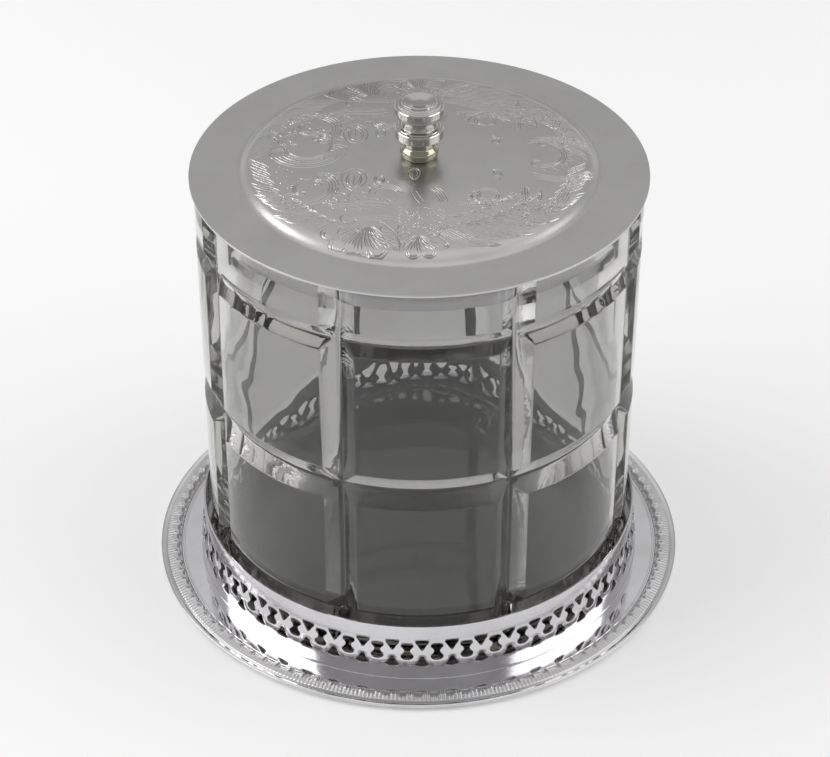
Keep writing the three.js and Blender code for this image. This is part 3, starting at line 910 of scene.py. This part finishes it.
def side_group(flip):
    """The scrollwork of one half of the dome. The front half and the back half mirror each other."""

    def at(*pairs):
        return [(x, y * flip) for x, y in pairs]

    fan(*at((-14.5, -36.0)), -1.95 * flip, 20.5, 25, 1.75, flip)
    fan(*at((0.0, -43.0)), -1.62 * flip, 14.0, 17, 1.6, flip, 4)
    plume(
        at((-26, -46), (-25, -36), (-14, -34.5), (-5, -38)),
        at((-24, -44), (-22, -38), (-14, -37), (-7, -40)), 3, 0.2
    )
    locks(-86, -40, 11, 42.5, 57.0, 19, 1.9, flip)
    locks(-80, -42, 7, 37.5, 46.0, 20, 1.3, flip, 4)
    locks(-38, -8, 6, 49.0, 57.5, 14, 1.2, flip, 4, 0.3)
    plume(at((40, -31), (45, -24), (47.5, -16)), at((43, -33), (50, -24), (50.5, -13)), 5, 0.4)
    locks(-124, -148, 5, 47.0, 57.5, -16, 1.4, flip)
    locks(-149, -176, 5, 50.0, 57.0, -12, 1.1, flip, 3, 0.27)
    c_scroll(*at((-37, -18.5)), -0.75 * flip, 10.8, 3.0, 4, flip, 6)
    c_scroll(*at((-36, -19)), 2.4 * flip, 5.2, 3.4, 3, flip, 4)
    c_scroll(*at((38.5, -36.0)), 2.5 * flip, 5.6, 2.8, 4, flip, 0)
    cartouche(*at((22.3, -23.6)), 4.4)
    c_scroll(*at((22.6, -23.8)), -2.3 * flip, 6.0, 2.2, 2, flip, 5)
    bud(*at((-21.8, -21.5)), 1.5 * flip, 13.5, flip)
    bud(*at((-12.4, -17.5)), 1.75 * flip, 5.5, flip, 1)
    bud(*at((26.4, -12.5)), 1.9 * flip, 4.5, flip, 1)
    for side in (-1, 1):
        acanthus(at((34, -28.5), (34.8, -23.5), (34, -18)), 2.4, 5, side, 1, 6)
    acanthus(at((38.8, -27.5), (40, -23.5), (39.5, -19)), 2.0, 4, flip, 1, 7)
    acanthus(at((12, -29.5), (20, -32), (28, -29), (32, -22)), 3.6, 6, flip, 2, 8)
    acanthus(at((-30, -26.5), (-23, -32), (-17, -26), (-9.5, -29.5)), 4.4, 6, flip, 2, 12)
    acanthus(at((-31, -27), (-25, -33), (-19, -28), (-11, -31)), 3.0, 5, -flip, 1, 13)
    plume(
        at((-16.5, -24), (-16, -16.5), (-7.5, -15.5), (-4.6, -24)),
        at((-13.5, -24), (-13, -20), (-8, -19), (-7, -24)), 4, 0.1
    )
    plume(at((-3, -21), (-2.5, -25), (0.5, -30)), at((-1.4, -21), (-0.5, -24.5), (1.8, -29)), 2, 0.1)
    plume(at((3.4, -20.5), (6, -23), (7, -29)), at((5.5, -19), (9, -23), (9.5, -30)), 4, 0.2)
    plume(
        at((36, -9), (44, -12.5), (52, -12), (58.5, -5)),
        at((38, -12.5), (45, -15.5), (52, -15), (58.5, -9)), 5, 0.1
    )
    at_back = flip < 0  # where the flecks are strewn anew
    flecks(*at((1.0, -38.5)), (7.5, 7.5), 90, 3 + at_back)
    flecks(*at((-46, -12)), (4, 7), 20, 5 + at_back)
    flecks(*at((26, -10)), (2, 3), 6, 9 + at_back)


side_group(1)
side_group(-1)
c_scroll((-37, 7), -1.5, 13.8, 2.4, 5, barbs=0)
c_scroll((-37, 7), -1.1, 8.0, 4.2, 2, barbs=5)
c_scroll((-38, 6), 1.6, 11.0, 1.8, 2, barbs=6)
c_scroll((40, 3), -0.2, 9.0, 3.0, 3)
acanthus([(-30, 26), (-38, 28), (-45, 22), (-49, 12)], 5.0, 6, -1, 3, 9)
acanthus([(30, 26), (38, 28), (46, 22), (50, 12)], 5.0, 6, 1, 3, 10)
drop = bezier([(0, -7.7), (2.7, -10), (2.2, -13.5), (0, -15.5)], 18)
for side in (-1, 1):
    stroke(drop * (side, 1) - (1.6, 0), 0.36)
    stroke(drop * (side * 0.5, 0.86) - (1.6, 1.6), 0.3)

graver_depth, deep_width, taper_steps = 0.22, 0.5, 2.2
dome_edge, dome_middle = 61.0, 3.0
rim_steps = 192
flat, lines, samples = [], [], []
for line, width in strokes:
    steps = len(line)
    _, normal = course(line, 1e-9)
    taper = np.clip(np.minimum(np.arange(steps), np.arange(steps)[::-1]) / taper_steps, 0, 1) ** 0.6
    half = 0.5 * width * taper
    first = len(flat)
    flat += line.tolist()
    lines += [(first + k, first + k + 1) for k in range(steps - 1)]
    for side in (-1, 1):
        run = [first] + list(range(len(flat), len(flat) + steps - 2)) + [first + steps - 1]
        flat += (line + side * half[:, None] * normal)[1:-1].tolist()
        lines += list(zip(run, run[1:]))
    fine = np.linspace(0, steps - 1, steps * 8)
    samples += zip(*(np.interp(fine, np.arange(steps), column) for column in (*line.T, half)))
# Rings of points fill the face between the cuts, closer together where the shoulder bends.
bend_from = 54
ring_radii = np.concatenate([np.arange(dome_middle + 1.5, bend_from, 1.6), np.arange(54.3, 60.6, 0.55)])
for ring_radius in ring_radii:
    ring_steps = int(FULL_TURN * ring_radius / (2.0 if ring_radius < bend_from else 1.3))
    shift = 0.5 * (int(ring_radius * 10) % 2)
    flat += polar(ring_radius, FULL_TURN * (np.arange(ring_steps) + shift) / ring_steps).tolist()
rim_turns = FULL_TURN * np.arange(rim_steps) / rim_steps
for ring_radius in (dome_middle, dome_edge):
    first = len(flat)
    flat += polar(ring_radius, rim_turns).tolist()
    lines += [(first + k, first + (k + 1) % rim_steps) for k in range(rim_steps)]
flat, triangles = filled(flat, lines, 1e-4)
middles = np.hypot(*flat[triangles].mean(1).T)
triangles = triangles[(middles > dome_middle) & (middles < dome_edge)]
tree = kdtree.KDTree(len(samples))
for number, (x, y, half) in enumerate(samples):
    tree.insert((x, y, 0), number)
tree.balance()
cut_depth = np.zeros(len(flat))
for number, (x, y) in enumerate(flat):
    _, nearest, distance = tree.find((x, y, 0))
    half = samples[nearest][2]
    if distance < half:
        cut_depth[number] = (1 - distance / half) * min(1, 2 * half / deep_width)
radii = np.hypot(*flat.T)
top_points = np.column_stack([flat, lid_height(radii) - graver_depth * cut_depth])

under = [(r, z - lid_sheet) for r, z in section if hole_radius < r < lid_radius - 1]
rim_edge = [(lid_radius, rim_top, 0.25), (lid_radius, lid_under, 0.15)]
rest_outline = (
    [(dome_edge, rim_top)]
    + rounded([(dome_edge + 0.5, rim_top), *rim_edge, (66, lid_under)])
    + under[::-1]
    + [(hole_radius, dome_top - lid_sheet), (hole_radius, dome_top), (dome_middle, dome_top)]
)
rest_points, rest_faces = skin([rest_outline[::-1]] * rim_steps, rim_turns)
rest_faces = [tuple(k + len(top_points) for k in face) for face in rest_faces]
lid = shell("lid_sheet", np.concatenate([top_points, rest_points]), triangles.tolist() + rest_faces)

# Grime lies in the cuts. The back of the dome is a little darker all over, most in one patch.
back_darkening, back_start, back_reach = 0.45, -5, 45
patch_darkening, patch_place, patch_size = 0.8, (-26, 46), (15, 8)
depths = []


def darkness_at(x, y, z):
    """The darkness of a point of the lid, whose depth in a cut is noted too: -1 off the face."""
    radius = math.hypot(x, y)
    gap = lid_height(radius) - z
    on_face = gap < (0.3 if radius < flat_from else 0.001)
    depths.append(min(1, max(0, gap / graver_depth)) if on_face else -1)
    if not on_face or radius > flat_from:
        return max(0, depths[-1])
    from_patch = math.hypot((x - patch_place[0]) / patch_size[0], (y - patch_place[1]) / patch_size[1])
    darkening = back_darkening * min(1, max(0, (y - back_start) / back_reach))
    return max(0, depths[-1]) + darkening + patch_darkening * hump(from_patch, 1)


marked(lid, "cut", darkness_at)

# The uncut face keeps the smooth normals of the spun sheet, and each wall of a cut is a bright facet.
slopes = np.gradient(section[:, 1], section[:, 0])
normals = [tuple(normal.vector) for normal in lid.data.corner_normals]
for face in lid.data.polygons:
    corners = [depths[number] for number in face.vertices]
    if min(corners) < 0 or face.normal.z < 0.3:
        continue
    for corner, number in zip(face.loop_indices, face.vertices):
        x, y, _ = lid.data.vertices[number].co / MM
        radius = math.hypot(x, y)
        slope = float(np.interp(radius, section[:, 0], slopes)) / radius
        smooth = (-slope * x, -slope * y, 1)
        normals[corner] = tuple(face.normal) if max(corners) > 0.05 else smooth
lid.data.normals_split_custom_set(normals)
satin_plate = plated(
    "satin_plate", (0.585, 0.58, 0.572), (0.525, 0.52, 0.512), 0.31, 0.06, grain=0.01, cut="cut"
)
placed(lid, satin_plate, "lid", "lid_cover")


# The cup under the knob: a small round foot of yellower metal, turned, and drawn tight between the knob
# and the top of the dome.
cup_height = 7.6
cup_corners = [(0, 0), (5.5, 0, 0.2), (6.2, 0.8, 1.0), (6.45, 2.2, 1.0), (6.3, 3.1, 0.8), (5.1, 4.4, 0.8)]
cup_corners += [(4.9, cup_height, 0.1), (0, cup_height)]


def stood(corners, height):
    """An outline through corners of (radius, rise, fillet), stood at a height."""
    return rounded([(corner[0], height + corner[1], *corner[2:]) for corner in corners])


pale_brass = plated("pale_brass", (0.4, 0.38, 0.3), (0.33, 0.31, 0.25), 0.1, 0.1)
placed(turned("knob_cup", stood(cup_corners, dome_top), 96), pale_brass, "lid", "finial_foot")


# The knob: turned and plated, with a lower ring that stands on the cup, a short neck, and a cap that
# steps in twice to a dish in its top.
knob_bottom = dome_top + cup_height
knob_corners = [
    (0, 0), (7.6, 0, 0.25), (7.98, 0.35, 0.3), (7.98, 3.0, 0.3), (7.65, 3.4, 0.2), (7.15, 3.5, 0.15),
    (6.9, 3.75, 0.15), (6.1, 3.8, 0.15), (5.7, 4.1, 0.3), (5.58, 5.5, 1.0), (5.75, 7.0, 0.2), (7.1, 7.3, 0.2),
    (7.7, 7.9, 0.4), (8.1, 9.2, 0.6), (8.1, 11.2, 0.25), (7.85, 11.55, 0.12), (7.15, 11.7, 0.1),
    (6.95, 12.35, 0.2), (5.95, 12.5, 0.1), (5.7, 13.0, 0.2), (5.35, 13.2, 0.15), (4.9, 13.0, 0.2),
    (2.4, 12.3, 1.0), (0, 12.1),
]
knob_plate = plated("knob_plate", (0.52, 0.515, 0.49), (0.46, 0.455, 0.43), 0.1, 0.12)
knob = turned("knob_top", stood(knob_corners, knob_bottom), 128)
placed(knob, knob_plate, "lid", "finial")


# The fasteners under the dome: the knob's stud, with its washer and nut, in plain steel that shows
# only from below. Their CAD solids stay as they are.
def plain_steel():
    """Steel turned in a lathe, with fine rings and a few dark stains."""
    steel = Finish(bpy.data.materials.new("plain_steel"))
    stains = steel.noise(160, detail=4).clipped(0.4, 0.8)
    rings = steel.noise(700, detail=2, stretch=(0.2, 0.2, 6))
    bump = steel.node("ShaderNodeBump", {"Height": rings, "Strength": 0.2, "Distance": 0.1 * MM})
    surface = steel.node(
        "ShaderNodeBsdfPrincipled",
        {
            "Base Color": steel.mixed(stains, (0.56, 0.56, 0.57, 1), (0.36, 0.35, 0.34, 1)),
            "Metallic": 1.0,
            "Roughness": stains * 0.15 + 0.3,
            "Normal": bump,
        },
    )
    steel.node("ShaderNodeOutputMaterial", {"Surface": surface})
    return steel.owner


fastener_steel = plain_steel()
for node_name in ("finial_stud", "finial_washer", "finial_nut"):
    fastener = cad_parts[node_name].data
    fastener.materials.clear()
    fastener.materials.append(fastener_steel)
